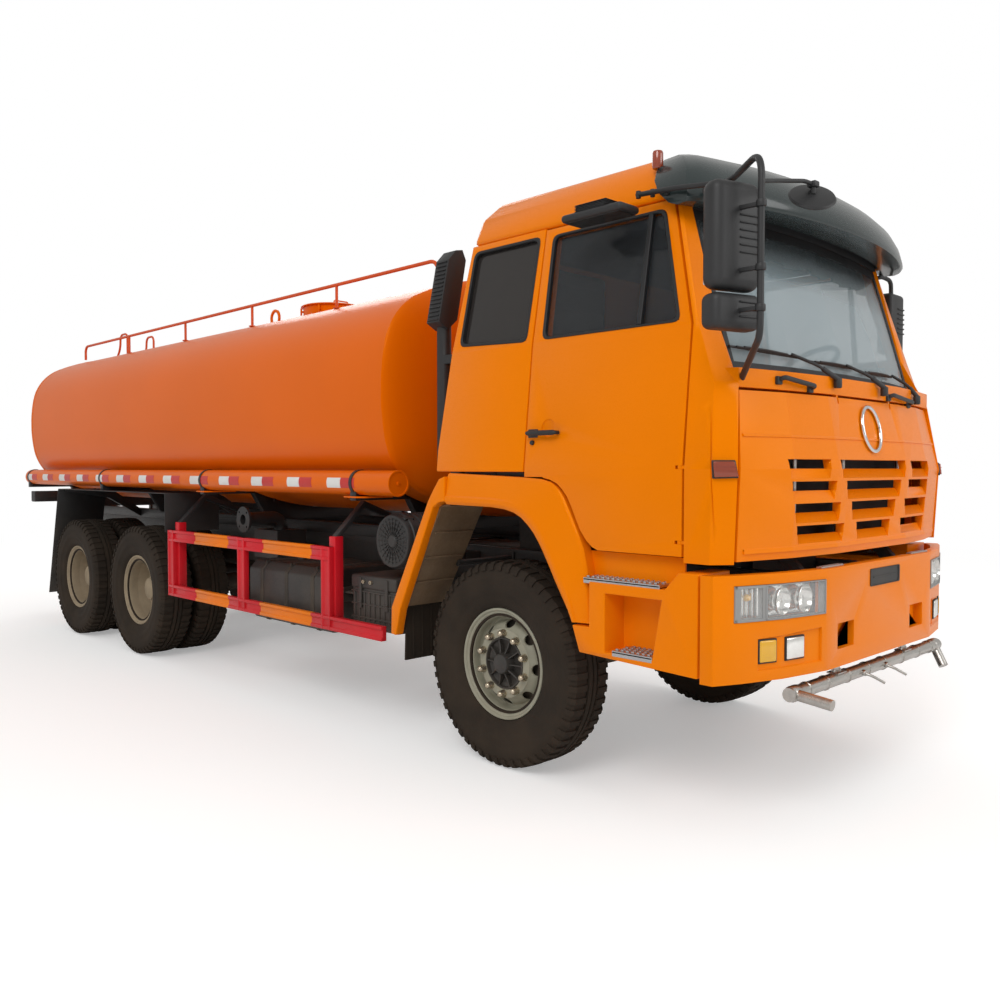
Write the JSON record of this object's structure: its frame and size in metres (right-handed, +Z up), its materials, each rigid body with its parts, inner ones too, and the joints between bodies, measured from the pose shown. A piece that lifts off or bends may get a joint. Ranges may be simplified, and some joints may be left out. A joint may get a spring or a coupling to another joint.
{
  "type": "tanker truck",
  "caption": "Three-axle forward-control water tanker lorry with tilt cab, oval tank with handrails, side hose tubes, underrun guards and front sprinkler bar.",
  "frame": {"origin": "ground level, midway along the vehicle and across it", "axes": "+X forward, +Y to the left side, +Z up"},
  "size_m": [9.555, 2.77, 3.1945],
  "materials": {
    "orange_paint": "gloss",
    "red_orange_paint": "gloss",
    "red_paint": "gloss",
    "black_paint": "satin",
    "cast_iron": "rough",
    "aluminium": "satin",
    "stainless": "brushed",
    "black_plastic": "matt",
    "fairing_grey": "satin",
    "clear_glass": "gloss",
    "dark_glass": "gloss",
    "lamp_glass": "gloss",
    "red_lens": "gloss",
    "seat_fabric": "woven",
    "wheel_paint": "satin",
    "tyre_rubber": "matt"
  },
  "bodies": {
    "chassis": {"air_filter": "black_plastic", "battery_box": "black_paint", "chassis_frame": "black_paint", "engine_gearbox": "cast_iron", "front_axle_beam": "black_paint", "front_bumper": "orange_paint", "front_lamps": "lamp_glass", "fuel_tanks": "black_paint", "hose_tubes": "orange_paint", "leaf_springs": "black_paint", "propeller_shafts": "black_paint", "radiator": "aluminium", "rear_axles": "black_paint", "rear_beam": "black_paint", "rear_fenders": "black_paint", "side_guards": "red_paint", "splash_guards": "orange_paint", "sprinkler_bar": "stainless", "step_panels": "orange_paint", "tail_lamps": "red_lens", "tank_handrails": "red_orange_paint", "tank_saddles": "black_paint", "tank_shell": "orange_paint", "water_pump": "cast_iron"},
    "cab": {"cab_sides": "orange_paint", "cab_rear_wall": "orange_paint", "cab_roof": "orange_paint", "cab_front_frame": "orange_paint", "cab_floor": "black_paint", "windscreen": "clear_glass", "quarter_windows": "dark_glass", "roof_fairing": "fairing_grey", "mirror_right": "black_plastic", "seats": "seat_fabric", "dashboard": "black_plastic", "steering_wheel": "black_plastic", "wheel_flares": "orange_paint", "intake_column": "black_plastic"},
    "door_left": {"door_left": "orange_paint", "door_glass_left": "clear_glass", "mirror_left": "black_plastic"},
    "door_right": {"door_right": "orange_paint", "door_glass_right": "clear_glass"},
    "front_flap": {"front_flap": "orange_paint"},
    "manhole_lid": {"manhole_lid": "orange_paint"},
    "track_rod": {"track_rod": "black_paint"},
    "knuckle_left": {"steering_knuckle_left": "black_paint"},
    "knuckle_right": {"steering_knuckle_right": "black_paint"},
    "front_wheel_left": {"front_tyre_left": "tyre_rubber", "front_wheel_left": "wheel_paint"},
    "front_wheel_right": {"front_tyre_right": "tyre_rubber", "front_wheel_right": "wheel_paint"},
    "rear_wheels_1_left": {"rear_tyres_1_left": "tyre_rubber", "rear_wheels_1_left": "wheel_paint"},
    "rear_wheels_1_right": {"rear_tyres_1_right": "tyre_rubber", "rear_wheels_1_right": "wheel_paint"},
    "rear_wheels_2_left": {"rear_tyres_2_left": "tyre_rubber", "rear_wheels_2_left": "wheel_paint"},
    "rear_wheels_2_right": {"rear_tyres_2_right": "tyre_rubber", "rear_wheels_2_right": "wheel_paint"}
  },
  "joints": [
    {"name": "cab_tilt", "type": "hinge", "parent": "chassis", "child": "cab", "pos_m": [4.5075, 0, 1.0425], "axis": [0, 1, 0], "range_deg": [0, 50]},
    {"name": "door_left_swing", "type": "hinge", "parent": "cab", "child": "door_left", "pos_m": [4.2245, 1.19, 1.7225], "axis": [0, 0, -1], "range_deg": [0, 70]},
    {"name": "door_right_swing", "type": "hinge", "parent": "cab", "child": "door_right", "pos_m": [4.2245, -1.19, 1.7225], "axis": [0, 0, 1], "range_deg": [0, 70]},
    {"name": "front_flap_swing", "type": "hinge", "parent": "cab", "child": "front_flap", "pos_m": [4.4975, 0, 1.9525], "axis": [0, -1, 0], "range_deg": [0, 75]},
    {"name": "manhole_lid_swing", "type": "hinge", "parent": "chassis", "child": "manhole_lid", "pos_m": [-0.4575, 0, 3.0205], "axis": [0, -1, 0], "range_deg": [0, 110]},
    {"name": "steer_left", "type": "hinge", "parent": "chassis", "child": "knuckle_left", "pos_m": [3.0025, 0.8, 0.5625], "axis": [0, 0, 1], "range_deg": [-32, 32]},
    {"name": "steer_right", "type": "hinge", "parent": "chassis", "child": "knuckle_right", "pos_m": [3.0025, -0.8, 0.5625], "axis": [0, 0, 1], "range_deg": [-32, 32]},
    {"name": "track_rod_pivot", "type": "hinge", "parent": "knuckle_left", "child": "track_rod", "pos_m": [2.8125, 0.8, 0.4175], "axis": [0, 0, 1], "range_deg": [-32, 32]},
    {"name": "front_wheel_left_spin", "type": "hinge", "parent": "knuckle_left", "child": "front_wheel_left", "pos_m": [3.0025, 0.98, 0.5625], "axis": [0, 1, 0], "continuous": true},
    {"name": "front_wheel_right_spin", "type": "hinge", "parent": "knuckle_right", "child": "front_wheel_right", "pos_m": [3.0025, -0.98, 0.5625], "axis": [0, 1, 0], "continuous": true},
    {"name": "rear_wheels_1_left_spin", "type": "hinge", "parent": "chassis", "child": "rear_wheels_1_left", "pos_m": [-1.4125, 0.93, 0.5625], "axis": [0, 1, 0], "continuous": true},
    {"name": "rear_wheels_1_right_spin", "type": "hinge", "parent": "chassis", "child": "rear_wheels_1_right", "pos_m": [-1.4125, -0.93, 0.5625], "axis": [0, 1, 0], "continuous": true},
    {"name": "rear_wheels_2_left_spin", "type": "hinge", "parent": "chassis", "child": "rear_wheels_2_left", "pos_m": [-2.8125, 0.93, 0.5625], "axis": [0, 1, 0], "continuous": true},
    {"name": "rear_wheels_2_right_spin", "type": "hinge", "parent": "chassis", "child": "rear_wheels_2_right", "pos_m": [-2.8125, -0.93, 0.5625], "axis": [0, 1, 0], "continuous": true}
  ],
  "couplings": [
    {"joint": "steer_right", "follows": "steer_left", "ratio": 1},
    {"joint": "track_rod_pivot", "follows": "steer_left", "ratio": -1}
  ]
}
